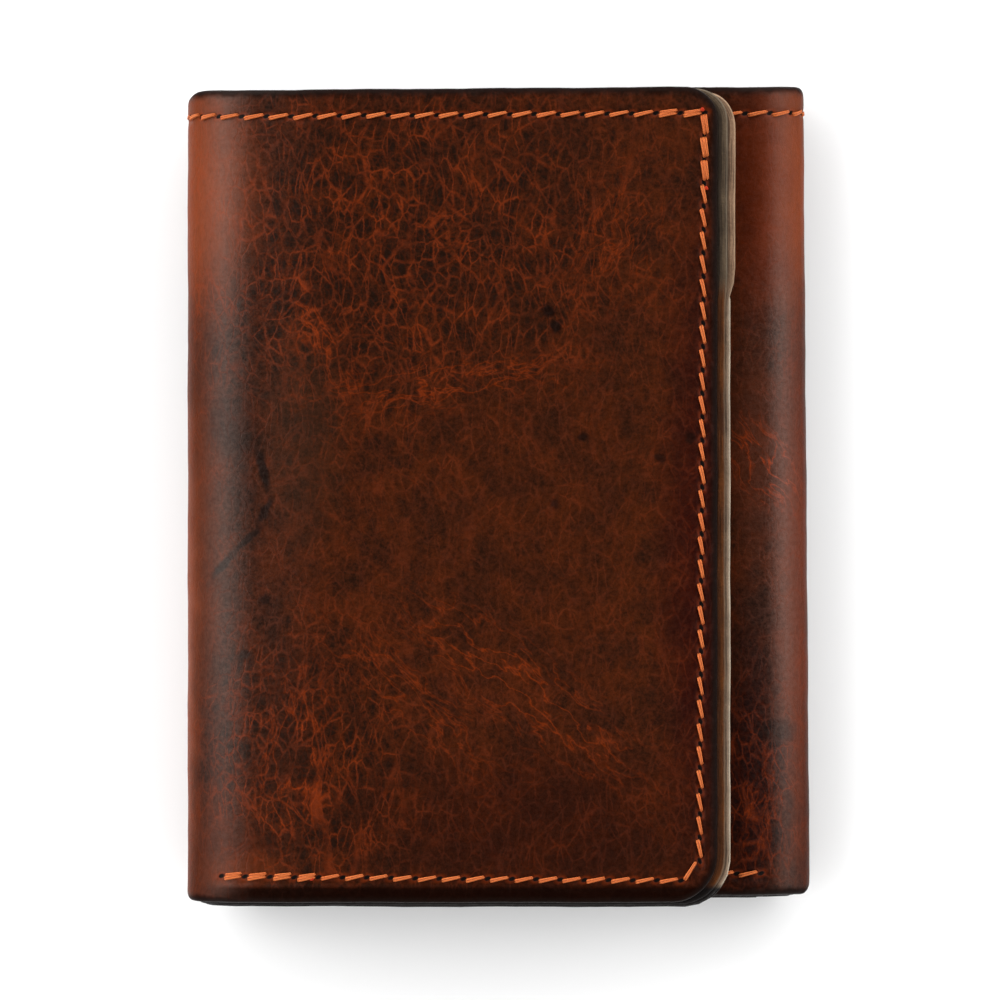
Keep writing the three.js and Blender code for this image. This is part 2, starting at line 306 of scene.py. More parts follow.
class Graph:
    """The node tree of a material or world. Values are sockets, numbers or colours."""

    def __init__(self, name, owners=bpy.data.materials, shader="Principled BSDF"):
        self.owner = owners.new(name)
        self.owner.use_nodes = True
        self.tree = self.owner.node_tree
        self.shader = self.tree.nodes[shader]

    def put(self, value, socket):
        if isinstance(value, bpy.types.NodeSocket):
            self.tree.links.new(value, socket)
        else:
            socket.default_value = value

    def node(self, kind, inputs, output=0, **settings):
        made = self.tree.nodes.new(f"ShaderNode{kind}")
        for key, value in settings.items():
            setattr(made, key, value)
        for key, value in inputs.items():
            self.put(value, made.inputs[key])
        return made.outputs[output]

    def shade(self, inputs):
        """Sets the shader's inputs, and returns what the tree belongs to."""
        for key, value in inputs.items():
            self.put(value, self.shader.inputs[key])
        return self.owner

    def leather(self):
        """u, v and h, and the place on the flat sheet."""
        where = self.attribute("leather")
        return *self.split(where), self.vector("MULTIPLY", where, (1, 1, 0))

    def attribute(self, name, output="Vector"):
        return self.node("Attribute", {}, output, attribute_name=name)

    def math(self, operation, *values):
        return self.node("Math", dict(enumerate(values)), operation=operation)

    def chain(self, operation, values):
        return functools.reduce(lambda a, b: self.math(operation, a, b), values)

    def add(self, *values):
        return self.chain("ADD", values)

    def times(self, *values):
        return self.chain("MULTIPLY", values)

    def most(self, *values):
        return self.chain("MAXIMUM", values)

    def minus(self, a, b):
        return self.math("SUBTRACT", a, b)

    def size(self, value):
        return self.math("ABSOLUTE", value)

    def vector(self, operation, *values, output=0):
        return self.node("VectorMath", dict(enumerate(values)), output, operation=operation)

    def combine(self, x, y, z=0.0):
        return self.node("CombineXYZ", {"X": x, "Y": y, "Z": z})

    def split(self, vector):
        return self.node("SeparateXYZ", {0: vector}).node.outputs

    def ramp(self, value, low, high, start=0.0, stop=1.0):
        """A smooth step of value from low to high, which gives start to stop."""
        inputs = {"Value": value, "From Min": low, "From Max": high, "To Min": start, "To Max": stop}
        return self.node("MapRange", inputs, interpolation_type="SMOOTHSTEP")

    def fade(self, value, low, high):
        return self.ramp(value, low, high, 1.0, 0.0)

    def noise(self, vector, scale, detail=2.0, rough=0.5, output=0):
        inputs = {"Vector": vector, "Scale": scale, "Detail": detail, "Roughness": rough}
        return self.node("TexNoise", inputs, output)

    def cells(self, vector, feature, scale=1.0, output=0, even=1.0):
        inputs = {"Vector": vector, "Scale": scale, "Randomness": even}
        return self.node("TexVoronoi", inputs, output, feature=feature)

    def mix(self, factor, a, b):
        return self.node("Mix", {0: factor, 6: a, 7: b}, 2, data_type="RGBA")

    def warp(self, vector, scale, size):
        """vector, shifted by up to size by noise of the given scale."""
        shift = self.vector("SUBTRACT", self.noise(vector, scale, 1.0, output=1), (0.5, 0.5, 0.5))
        return self.vector("MULTIPLY_ADD", shift, (2 * size, 2 * size, 0), vector)

    def along(self, vector, degrees, size):
        """vector, measured along and across the given direction, in units of size."""
        inputs = {"Vector": vector, "Rotation": (0, 0, math.radians(degrees)), "Scale": (*size, 1)}
        return self.node("Mapping", inputs, vector_type="TEXTURE")

    def blot(self, vector, centre, size, degrees=0.0, hard=0.3):
        """1 inside an ellipse and 0 outside it. centre and size are in millimetres."""
        moved = self.vector("SUBTRACT", vector, (*centre, 0))
        scaled = self.along(moved, degrees, size)
        return self.fade(self.vector("LENGTH", scaled, output=1), hard, 1.0)

    def bump(self, height, strength):
        inputs = {"Height": height, "Strength": strength, "Distance": BUMP_DISTANCE}
        return self.node("Bump", inputs)


CORE = seen(38, 25, 20)
GROUND = seen(80, 37, 20)
VEIN = seen(158, 60, 22)
BLACK = seen(27, 19, 14)
# The awl holes' colour: painted shade inside the holes
HOLE_SHADE = seen(12, 9, 8)
WARM_SHINE = (1.0, 0.87, 0.78, 1.0)
TAN = seen(140, 75, 52, 0.022)
RUST = seen(150, 84, 62, 0.016)
PLUM = seen(106, 62, 48, 0.026)


def on_inner(x):
    return x + INNER_SHIFT


# Where the bottom edges turn dark: black burnishing, with painted shade on the bottom edge, which faces away
# from the light
BOTTOM_BURN_AND_SHADE = (-51.9, -50.9)

# Where the sewn edges step in, at the tops of the front pockets
POCKET_TOP = node_box("flap_front_pocket")[1][1]
STEP_AT = (POCKET_TOP - 1.6, POCKET_TOP + 2.4)

FAINTEST = 0.22  # how strongly the net of veins shows everywhere

# Where it shows more: whether the place has a wavy outline, its centre, half size, strength
VEINED = (
    (True, (-14, 34), (46, 34), 0.55),
    (True, (-26, -36), (22, 28), 0.45),
    (False, (on_inner(34), -40), (7, 19), 0.5),
    (True, (U_BACK_MIDDLE, 14), (40, 52), 0.5),
)

# Bundles of orange veins: centre, half length and width, direction in degrees, strength
VEIN_BUNDLES = (
    ((3, -25), (30, 8), -38, 0.44),
    ((-12, -26), (24, 7), -42, 0.3),
    ((-7, 15), (26, 5), 8, 0.4),
    ((-27, -34), (20, 8), 86, 0.4),
    ((-24, 22), (16, 5), -62, 0.4),
    ((16, 34), (14, 10), 70, 0.3),
    ((on_inner(35.5), 4), (11, 6), -52, 0.8),
    ((on_inner(34), -42), (13, 5), 80, 0.3),
)

# Larger marks: centre, half size, strength, colour
STAINS = (
    ((-43, 41), (14.5, 25), 0.95, TAN),
    ((-42, -4), (8, 36), 0.75, PLUM),
    ((-47, -22), (8, 60), 0.9, RUST),
    ((-37, -48), (10, 12), 0.5, seen(92, 42, 24)),
    ((28, -8), (9, 62), 0.8, seen(46, 13, 5)),
    ((5, -44), (36, 16), 0.7, seen(45, 22, 13)),
    ((-34, -49.5), (8, 4), 0.4, seen(118, 54, 26)),
    ((-26, 8), (8, 20), 0.45, seen(54, 38, 28)),
    ((-28, -34), (8, 22), 0.35, seen(52, 26, 17)),
    ((on_inner(40), 41), (7.5, 24), 1.0, TAN),
    ((on_inner(35), 40), (6, 22), 0.7, seen(96, 36, 18)),
    ((on_inner(40), -12), (5, 52), 0.75, seen(118, 62, 42, 0.026)),
    ((on_inner(33), -38), (6, 30), 0.85, seen(34, 11, 6)),
    ((on_inner(34), 6), (5, 20), 0.5, seen(92, 44, 26)),
    ((8, 2), (26, 40), 0.2, seen(62, 30, 15)),
)

# Dark marks: centre, half size, turn in degrees, strength
SCARS = (
    ((-31.0, 3.6), (0.8, 4.2), 12, 0.9),
    ((-30.7, -1.6), (0.8, 2.8), -25, 0.85),
    ((-32.9, -5.4), (0.7, 3.6), -48, 0.8),
    ((-36.2, -8.9), (0.8, 3.2), -42, 0.85),
    ((-34.5, 9), (5.0, 6.5), 30, 0.45),
    ((-33.6, 1.5), (3.2, 4.5), 0, 0.3),
    ((on_inner(36.7), -31.5), (3.8, 2.4), 0, 0.55),
    ((6.7, 24.6), (1.3, 1.4), 0, 0.95),
    ((7.7, 22.5), (1.2, 1.2), 0, 0.95),
    ((11.2, 8.0), (1.1, 0.9), 0, 0.8),
    ((7.6, -1.0), (0.9, 1.0), 0, 0.7),
    ((25.5, 7.7), (0.9, 1.1), 0, 0.7),
    ((21.5, 5.0), (1.0, 0.9), 0, 0.7),
    ((-30.8, -13.5), (1.0, 1.1), 0, 0.7),
    ((-33.4, -20.8), (1.2, 1.0), 0, 0.8),
)


def vein_network(g, slow):
    """Pull-up veins: a net of upright cells in three sizes, ragged and broken, and its dark middles."""
    near = g.warp(g.warp(g.warp(slow, 0.6, 0.25), 2.2, 0.14), 6.0, 0.03)
    large = g.cells(g.along(near, 9, (3.2, 10.0)), "DISTANCE_TO_EDGE")
    upright = g.along(near, -4, (1.5, 2.8))
    middle = g.cells(upright, "DISTANCE_TO_EDGE", even=0.85)
    small = g.cells(g.along(near, 10, (0.75, 1.2)), "DISTANCE_TO_EDGE")
    cores = g.fade(g.cells(upright, "F1", even=0.85), 0.12, 0.5)
    faded = g.ramp(g.noise(slow, 0.4, 3.0), 0.36, 0.6, 0.3, 1.0)
    grain = g.ramp(g.noise(slow, 3.0, 3.0, 0.7), 0.3, 0.6, 0.5, 1.0)
    wide = g.times(g.fade(large, 0.0, 0.035), faded, 0.8)
    narrow = g.times(g.fade(middle, 0.0, 0.085), faded, grain)
    hairs = g.times(g.fade(small, 0.0, 0.16), grain)
    return g.most(wide, narrow), hairs, cores


def vein_streaks(g, flat):
    """Bundles of longer veins, each along its own direction."""
    streaks = 0.0
    for centre, size, angle, strength in VEIN_BUNDLES:
        bent = g.warp(g.warp(flat, 0.25, 1.5), 2.0, 0.12)
        from_line = g.size(g.minus(g.noise(g.along(bent, angle, (8.0, 2.4)), 1.0, 3.0, 0.55), 0.5))
        ridge = g.add(g.ramp(from_line, 0.0, 0.014, 0.6, 0.0), g.ramp(from_line, 0.0, 0.05, 0.4, 0.0))
        streaks = g.add(streaks, g.times(ridge, g.blot(flat, centre, size, angle, 0.1), strength))
    return streaks


def leather_material():
    g = Graph("oiled_leather")
    u, v, h, flat = g.leather()
    slow = g.warp(flat, 0.08, 2.4)
    lines, hairs, cores = vein_network(g, slow)
    strong = FAINTEST
    for wavy, centre, size, strength in VEINED:
        strong = g.add(strong, g.times(g.blot(slow if wavy else flat, centre, size, hard=0.1), strength))
    strong = g.times(strong, g.ramp(g.noise(flat, 0.16, 3.0), 0.3, 0.7, 0.5, 1.2))
    veins = g.times(g.add(g.times(lines, 0.56), g.times(hairs, 0.13)), strong)
    mottle = g.ramp(g.noise(flat, 1.6, 6.0, 0.75), 0.34, 0.66)
    patch = g.ramp(g.noise(flat, 0.16, 5.0, 0.65), 0.36, 0.64)
    plain = g.ramp(strong, 0.2, 0.6, 0.06, -0.1)
    warm = g.add(plain, 0.1, g.times(mottle, 0.36), g.times(patch, 0.36), g.times(cores, strong, -0.75))
    warm = g.ramp(warm, -0.2, 1.2, -0.2, 1.2)
    pores = g.ramp(g.cells(flat, "F1", 2.9), 0.0, 0.45)
    base = g.mix(g.times(warm, g.add(0.6, g.times(pores, 0.4))), CORE, GROUND)
    cloudy = g.ramp(g.noise(g.along(flat, 0, (1.0, 2.5)), 1.3, 6.0, 0.72), 0.32, 0.6, 0.78, 1.0)
    for centre, size, strength, colour in STAINS:
        blot = g.blot(g.warp(flat, 0.25, 1.6), centre, size, hard=0.2)
        base = g.mix(g.times(blot, strength, cloudy), base, colour)
    base = g.mix(g.math("MINIMUM", g.add(veins, vein_streaks(g, flat)), 0.9), base, VEIN)
    for centre, size, angle, strength in SCARS:
        blot = g.blot(g.warp(flat, 0.8, 0.4), centre, size, angle, 0.35)
        base = g.mix(g.times(blot, strength), base, BLACK)
    # Painted black along the edges, the cut sides, the inner face and the flap's bottom: black edge burnishing,
    # with painted shade where the bevel and the bottom edge turn away from the light
    ragged = g.add(g.attribute("inset", "Fac"), g.times(g.noise(flat, 0.5, 3.0), 0.9))
    low = g.times(g.fade(v, *BOTTOM_BURN_AND_SHADE), g.ramp(u, U_LEFT_MIDDLE + 3, U_LEFT_TOP))
    burnish_and_shade = g.most(g.ramp(ragged, 0.7, 2.0, 0.96, 0.0), g.times(low, 0.95), g.ramp(h, 0.8, 1.2))
    base = g.mix(burnish_and_shade, base, BLACK)
    holes, rims = hole_mask(g, u, v)
    # The holes are painted near black as painted shade inside them; the rubbed leather round them is lighter
    base = g.mix(holes, g.mix(g.times(rims, 0.3), base, VEIN), HOLE_SHADE)
    relief = g.add(g.times(mottle, 0.4), g.times(pores, 0.4), g.times(lines, -0.5), g.times(holes, -3.0))
    rough = g.add(
        0.33, g.times(mottle, 0.06), g.times(lines, 0.08), g.times(burnish_and_shade, -0.03), g.times(holes, 0.5),
    )
    gloss = g.times(fold_gloss(g, u, v), g.ramp(burnish_and_shade, 0.2, 0.9, 1.0, 0.3), g.add(0.7, g.times(mottle, 0.45)))
    return g.shade({
        "Base Color": base, "Roughness": rough, "Specular IOR Level": gloss, "Specular Tint": WARM_SHINE,
        "Normal": g.bump(relief, 0.25),
    })


def fold_gloss(g, u, v):
    """How much the leather shines: most where it starts to bend, least in the middles of the folds."""
    from_left = g.size(g.minus(u, U_LEFT_MIDDLE))
    from_right = g.size(g.minus(u, U_RIGHT_MIDDLE))
    beside_right = g.times(g.ramp(from_right, 8, 14, 0.26, 0.0), g.ramp(v, 20, 40, 1.0, 0.4))
    shoulder = g.most(g.ramp(from_left, 12, 24, 0.15, 0.0), beside_right)
    shoulder = g.times(shoulder, g.ramp(v, -50, -15, 0.4, 1.0))
    dull = g.times(g.ramp(from_left, 4.5, 10.0), g.ramp(from_right, 2.5, 6.5))
    return g.times(g.add(shoulder, 0.11), g.add(0.1, g.times(dull, 0.9)))


# ---- seams: where the holes and stitches are ----

top_low, top_high = node_box("top_seam_flap")
bottom_low, bottom_high = node_box("back_bottom_seam")
TOP_SEAM_V = (top_low[1] + top_high[1]) / 2
BOTTOM_SEAM_V = (bottom_low[1] + bottom_high[1]) / 2
THREAD_HALF = (bottom_high[2] - bottom_low[2]) / 2
FLAP_SEAM_U = node_box("flap_edge_seam")[1][0] - THREAD_HALF
INNER_SEAM_U = on_inner(node_box("inner_panel_edge_seam")[0][0] + THREAD_HALF)
TOP_PITCH = 3.22
INSIDE_PITCH = 3.2  # of the seams that only the inside shows

# A run of holes: the axis that it follows (0 is u, 1 is v), the line that it keeps to, its first hole,
# direction, pitch and number of gaps, and how much the line drifts for each millimetre from the first hole
RUNS = {
    "top": (0, TOP_SEAM_V, FLAP_SEAM_U, -1, TOP_PITCH, round((FLAP_SEAM_U - INNER_SEAM_U) / TOP_PITCH), 0),
    "flap_side": (1, FLAP_SEAM_U, TOP_SEAM_V, -1, 3.08, 32, 0.0067),
    "flap_bottom": (0, BOTTOM_SEAM_V + 0.2, -36.5, 1, 3.2, 19, -0.0095),
    "inner_side": (1, INNER_SEAM_U, TOP_SEAM_V, -1, 3.08, 32, 0),
    "inner_bottom": (0, BOTTOM_SEAM_V, on_inner(34.4), -1, 3.1, 18, 0),
    "back_bottom": (0, BOTTOM_SEAM_V, BACK_SHIFT + 29.6, -1, 3.2, 19, 0),
}

HOLE_SIZE = (0.48, 0.36)  # half length and width
HOLE_LEAN = 0.5  # of a hole across its seam
RIM = 2.3  # how far the rubbed leather round a hole reaches, in hole sizes
SEAM_HALF_WIDTH = 0.55  # of the groove that the sewing pulls in
SEAM_DEPTH, SEAM_RIPPLE = 0.16, 0.07  # that groove's depth, and how much deeper it is at the holes


def hole_mask(g, u, v):
    """1 in the awl holes between the stitches, and 1 fading to 0 round them."""
    holes, rims = 0.0, 0.0
    for axis, line, first, way, pitch, gaps, drift in RUNS.values():
        along, across = (u, v) if axis == 0 else (v, u)
        travel = g.minus(along, first)
        off = g.minus(g.minus(across, line), g.times(travel, drift))
        steps = g.times(travel, way / pitch)
        index = g.math("ROUND", g.math("MINIMUM", g.most(steps, 0), gaps))
        lean = -HOLE_LEAN if axis == 0 else HOLE_LEAN
        skew = g.add(g.times(g.minus(steps, index), way * pitch), g.times(off, lean))
        scaled = g.combine(g.times(skew, 1 / HOLE_SIZE[0]), g.times(off, 1 / HOLE_SIZE[1]))
        far = g.vector("LENGTH", scaled, output=1)
        holes = g.most(holes, g.fade(far, 0.6, 1.05))
        rims = g.most(rims, g.fade(far, 0.8, RIM))
    return holes, rims


def run_points(name):
    """The holes of a run, in u and v."""
    axis, line, first, way, pitch, gaps, drift = RUNS[name]
    travel = way * pitch * np.arange(gaps + 1)
    along, across = first + travel, line + drift * travel
    return np.stack([along, across] if axis == 0 else [across, along], axis=1)


def ply_material(name, face, upper, lower, burn):
    """Leather for the inner plies. face is its colour as seen. upper and lower are the colours of the cut edge
    and of its outermost line, above and below the step in the sewn edge; that line is a painted highlight on
    the rounded edge, and further in the cut edge is painted darker, as painted shade under the leather above
    it. burn is how dark the burnishing is.
    """
    g = Graph(name)
    u, v, _, flat = g.leather()
    inset = g.attribute("inset", "Fac")
    mottle = g.ramp(g.noise(flat, 1.4, 4.0, 0.6), 0.3, 0.7)
    rows = g.combine(g.times(u, 0.1), g.times(v, 0.1), g.times(inset, 2.6))
    layered = g.ramp(g.noise(rows, 1.6, 4.0, 0.65), 0.36, 0.64)
    specks = g.ramp(g.noise(flat, 2.2, 4.0, 0.7), 0.45, 0.65)
    colour = g.mix(mottle, seen(*face), darker(seen(*face), 0.72))
    above = g.ramp(v, *STEP_AT)
    edge, line = (g.mix(above, seen(*below), seen(*over)) for below, over in zip(lower, upper))
    inner = g.ramp(g.attribute("inner", "Fac"), 0.5, 1.0)
    rim = g.mix(g.times(layered, g.add(0.6, g.times(specks, 0.4))), g.mix(0.65, edge, BLACK), edge)
    # Further in from the cut edge the rim is painted towards black: painted shade where it lies under the
    # leather above
    rim = g.mix(g.ramp(inset, 0.6, 1.25, 0.0, 0.8), rim, BLACK)
    colour = g.mix(g.fade(g.add(inset, g.times(inner, 1.2)), 1.3, 1.7), colour, rim)
    # A light line along the very edge: a painted highlight on the rounded edge
    wander = g.add(inset, g.times(g.minus(g.noise(flat, 0.5, 3.0), 0.5), 0.3))
    edge_highlight = g.times(g.ramp(wander, 0.1, 0.26, 0.85, 0.0), g.add(1.0, g.times(inner, -0.5)))
    colour = g.mix(edge_highlight, colour, line)
    stain = g.ramp(g.noise(flat, 0.22, 3.0), 0.42, 0.62)
    near = g.fade(inset, 0.6, 1.6)
    colour = g.mix(g.times(stain, burn, near), colour, BLACK)
    # The bottom edges are painted darker than the black burnishing: burnishing with painted shade on the edge
    # that faces away from the light
    colour = g.mix(g.fade(v, *BOTTOM_BURN_AND_SHADE), colour, darker(BLACK, 0.6))
    relief = g.add(mottle, g.cells(flat, "F1", 2.6), g.times(layered, 0.8))
    return g.shade({
        "Base Color": colour, "Roughness": g.add(0.5, g.times(mottle, 0.2)), "Specular IOR Level": 0.12,
        "Normal": g.bump(relief, 0.3),
    })


def thread_material():
    """Waxed linen: plies that lie side by side, with fibre streaks along them, painted lighter as painted
    highlights, and grooves between the plies painted darker as painted shade. strand is (along, around, tone).
    """
    g = Graph("waxed_thread")
    along, around, tone = g.split(g.attribute("strand"))
    turn = g.add(g.times(around, 4.0), g.times(along, 0.6))
    # The grooves between the plies are painted darker: painted shade
    groove = g.fade(g.math("COSINE", turn), 0.2, 1.0)
    bright = g.mix(groove, seen(140, 48, 16), seen(226, 116, 56))
    shade = g.mix(g.times(tone, 0.45), bright, seen(196, 84, 36))
    fibres_and_highlights = g.noise(g.combine(g.times(along, 1.2), g.times(around, 5.0)), 2.4, 2.0)
    # The fibre streaks are painted lighter: painted highlight
    shade = g.mix(g.times(g.ramp(fibres_and_highlights, 0.42, 0.7), 0.5), shade, seen(246, 156, 92))
    shade = g.mix(g.ramp(g.attribute("melt", "Fac"), 0.2, 0.8), shade, seen(190, 50, 18))
    return g.shade({
        "Base Color": shade, "Roughness": 0.6, "Specular IOR Level": 0.15,
        "Normal": g.bump(g.add(groove, g.times(fibres_and_highlights, 0.5)), 0.4),
    })


LEATHER = leather_material()
LINING = ply_material(
    "lining_leather", (100, 52, 28), ((126, 106, 84), (120, 106, 88)), ((128, 72, 32), (112, 88, 66)), 0.3,
)
DIVIDER = ply_material(
    "divider_leather", (116, 72, 44), ((184, 146, 116), (182, 148, 118)),
    ((150, 124, 102), (150, 126, 104)), 0.2,
)
POCKET = ply_material(
    "pocket_leather", (130, 84, 52), ((160, 128, 98), (176, 146, 118)), ((204, 178, 150), (204, 186, 164)), 0.2,
)
THREAD = thread_material()


# ---- shell, lining and divider ----

FOLD_STEP = 0.5  # how finely the folds are drawn
CUT_SLIVER = 0.02  # the last quad at a cut, which keeps the shading even across it
BOTTOM_CORNER = 6.2
TOP_CORNER = 4.3

# The pieces in which each sheet and the top seam are made: from and to which u, where the bend between its
# two bodies starts and ends, those bodies, and the panel and the fold whose CAD nodes it replaces
STRETCHES = {
    "flap": (
        (U_LEFT_MIDDLE, math.inf), (U_LEFT_MIDDLE, U_LEFT_TOP),
        ("left_spine", "flap"), ("flap", "left_fold"),
    ),
    "back_left": (
        (U_BACK_MIDDLE, U_LEFT_MIDDLE), (U_LEFT_BACK, U_LEFT_MIDDLE),
        ("back", "left_spine"), ("back", "left_fold"),
    ),
    "back_right": (
        (U_RIGHT_MIDDLE, U_BACK_MIDDLE), (U_RIGHT_BACK, U_RIGHT_MIDDLE),
        ("back", "right_spine"), ("back", "right_fold"),
    ),
    "inner": (
        (-math.inf, U_RIGHT_MIDDLE), (U_RIGHT_MIDDLE, U_RIGHT_TOP),
        ("right_spine", "inner_panel"), ("inner_panel", "right_fold"),
    ),
}
CUTS = (U_LEFT_MIDDLE, U_BACK_MIDDLE, U_RIGHT_MIDDLE)


def after_cut(cut, tangent):
    """Values of u from a cut in the middle of a fold to where the fold ends."""
    return [[cut], spread(cut + CUT_SLIVER, tangent, FOLD_STEP)]


def before_cut(tangent, cut):
    """Values of u from where a fold starts to a cut in its middle."""
    return [spread(tangent, cut - CUT_SLIVER, FOLD_STEP), [cut - CUT_SLIVER, cut]]


def stretch_us(stretch, flap_edge, inner_edge, step):
    """A stretch's values of u in rising order."""
    flap, inner = (flap_edge - NEAR_EDGE)[::-1], inner_edge + NEAR_EDGE
    return np.concatenate({
        "flap": [*after_cut(U_LEFT_MIDDLE, U_LEFT_TOP), spread(U_LEFT_TOP, flap[0], step), flap],
        "back_left": [spread(U_BACK_MIDDLE, U_LEFT_BACK, step), *before_cut(U_LEFT_BACK, U_LEFT_MIDDLE)],
        "back_right": [
            *after_cut(U_RIGHT_MIDDLE, U_RIGHT_BACK),
            spread(U_RIGHT_BACK, U_BACK_MIDDLE, step), [U_BACK_MIDDLE],
        ],
        "inner": [inner, spread(inner[-1], U_RIGHT_TOP, step)[1:], *before_cut(U_RIGHT_TOP, U_RIGHT_MIDDLE)],
    }[stretch])


def bend_piece(piece, stretch, h):
    """Bakes a piece's placement into its mesh. It reads where its stretch bends and between which bodies, but
    does not use them.
    """
    _, bend_over, bodies, _ = STRETCHES[stretch]
    xs, zs = bend(np.array(bend_over), np.full(2, float(h)))
    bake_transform(piece)


def replace_stretch(stretch, node_prefix):
    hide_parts(*[f"{node_prefix}_{part}" for part in STRETCHES[stretch][3]])


def seam_relief(u, v):
    """How far the sewing pulls the outer face in, along each run of holes."""
    depth = np.zeros_like(u)
    for axis, line, first, way, pitch, gaps, drift in RUNS.values():
        along, across = (u, v) if axis == 0 else (v, u)
        steps = (along - first) * way / pitch
        inside = ease(steps, -0.6, 0.0) * (1 - ease(steps, gaps, gaps + 0.6))
        off = across - line - drift * (along - first)
        pull = np.exp(-((off / SEAM_HALF_WIDTH) ** 2))
        depth = np.maximum(depth, inside * pull * (SEAM_DEPTH + SEAM_RIPPLE * np.cos(2 * np.pi * steps)))
    return depth


SHEETS = ("shell", "lining", "divider")
FLAP_EDGE = {sheet: node_box(f"{sheet}_flap")[1][0] for sheet in SHEETS}
INNER_EDGE = {sheet: on_inner(node_box(f"{sheet}_inner_panel")[0][0]) for sheet in SHEETS}
# How much further out the sewn edges are below and above the front pockets' tops
FLARE = {"shell": (0.0, 0.0), "lining": (0.55, 0.85), "divider": (0.5, 1.4)}
NEAR_SEWN = (2, 8)  # distances from a sewn edge over which its flare and its pinch fade out
# v of the bottom edges, and v over which their shift fades out
FLAP_BOTTOM = {"shell": -53.6, "lining": -53.9, "divider": -54.1}
OTHER_BOTTOM = {"shell": -53.2, "lining": -53.3, "divider": -53.45}
SHIFTED = (-52, -40)
# How the edges draw in at the middle of each fold: u, half width, how much at the top and at the bottom
FOLD_DIPS = ((U_LEFT_MIDDLE, 3.4, 0.8, 0.15), (U_RIGHT_MIDDLE, 1.3, 0.05, 0.3))
TOP_DIP_OVER = (40, 54)  # v over which the dip at the top comes in
SCOOP = 4.4  # how much the divider's top edge rises towards the sewn edges
SCOOP_OVER, SCOOP_UP = (4, 18), (30, 49)  # the distances from them, and v, over which it does


def from_sewn_edge(sheet, u):
    return np.minimum(FLAP_EDGE[sheet] - u, u - INNER_EDGE[sheet])


def sheet_shape(sheet):
    bottom = node_box(f"{sheet}_flap")[0][1]

    def shape(u, v):
        near, far = NEAR_SEWN
        flap_near = ease(u, FLAP_EDGE[sheet] - far, FLAP_EDGE[sheet] - near)
        inner_near = 1 - ease(u, INNER_EDGE[sheet] + near, INNER_EDGE[sheet] + far)
        above = ease(v, *STEP_AT)
        below_flare, above_flare = FLARE[sheet]
        u_new = u + (below_flare + (above_flare - below_flare) * above) * (flap_near - inner_near)
        on_flap = ease(u, U_LEFT_BACK, U_LEFT_MIDDLE)
        target = OTHER_BOTTOM[sheet] + (FLAP_BOTTOM[sheet] - OTHER_BOTTOM[sheet]) * on_flap
        low = 1 - ease(v, *SHIFTED)
        v_new = v + (target - bottom) * low
        for middle, width, top_dip, bottom_dip in FOLD_DIPS:
            inside = np.exp(-(((u - middle) / width) ** 2))
            v_new = v_new - inside * (top_dip * ease(v, *TOP_DIP_OVER) - bottom_dip * low)
        if sheet == "divider":
            rise = (1 - ease(from_sewn_edge(sheet, u), *SCOOP_OVER)) * ease(v, *SCOOP_UP)
            v_new = v_new + SCOOP * rise
        return u_new, v_new

    return shape


PINCH = 0.38  # the loose space between lining and divider, which the sewing closes
PINCH_BOTTOM = -53  # v that it counts as a sewn edge at the bottom


def pinch(u, v):
    """How far the inner plies lie nearer the shell beside the sewn edges. Less depth is nearer."""
    near = np.minimum(from_sewn_edge("shell", u), v - PINCH_BOTTOM)
    return -PINCH * (1 - ease(near, *NEAR_SEWN))


def add_sheet(sheet, material, step, dome, relief=None, sink=None):
    box_low, box_high = node_box(f"{sheet}_flap")
    top = DEPTH - box_high[2]
    thickness = box_high[2] - box_low[2]
    vs = ladder(box_low[1], box_high[1], step)
    free_edges = {"flap": FLAP_EDGE[sheet], "inner": INNER_EDGE[sheet]}
    for stretch in STRETCHES:
        us = stretch_us(stretch, FLAP_EDGE[sheet], INNER_EDGE[sheet], step)
        corners = stretch in free_edges and (free_edges[stretch], BOTTOM_CORNER, TOP_CORNER)
        piece = slab(
            f"{sheet}_{stretch}_sheet", us, vs, top, thickness, material, dome, corners,
            shape=sheet_shape(sheet), sink=sink, relief=relief, cuts=CUTS,
        )
        bend_piece(piece, stretch, top)
        replace_stretch(stretch, sheet)


add_sheet("shell", LEATHER, 0.8, 1.25, seam_relief)
add_sheet("lining", LINING, 2.0, 0.3)
add_sheet("divider", DIVIDER, 2.0, 0.3, sink=pinch)


# ---- stitches ----

AROUND = 16  # points in a ring of thread
ALONG = 14  # rings in a stitch, less one
CROWDING = 0.35  # how much closer they are in its middle
STITCH_SLANT = 0.24
THREAD_RADIUS = (0.27, 0.18)  # at a stitch's start and end
FLATNESS, PLY_DEPTH, PLY_TWIST = 0.1, 0.09, 0.6  # of the thread's section, and its turn in radians per mm
HOLE_ROOM = 0.46  # from a hole's middle to where the thread comes up
SUNK = 0.32  # how deep a stitch's ends lie
STITCH_LIFT, LIFT_SPREAD = 0.18, 0.03  # how far its middle stands out, and how much that varies
FOLD_PULL = 0.3  # how much deeper the thread lies over the folds
FOLD_PULL_REACH = 3.5
BEAD = 0.27  # radius of a thread's melted end


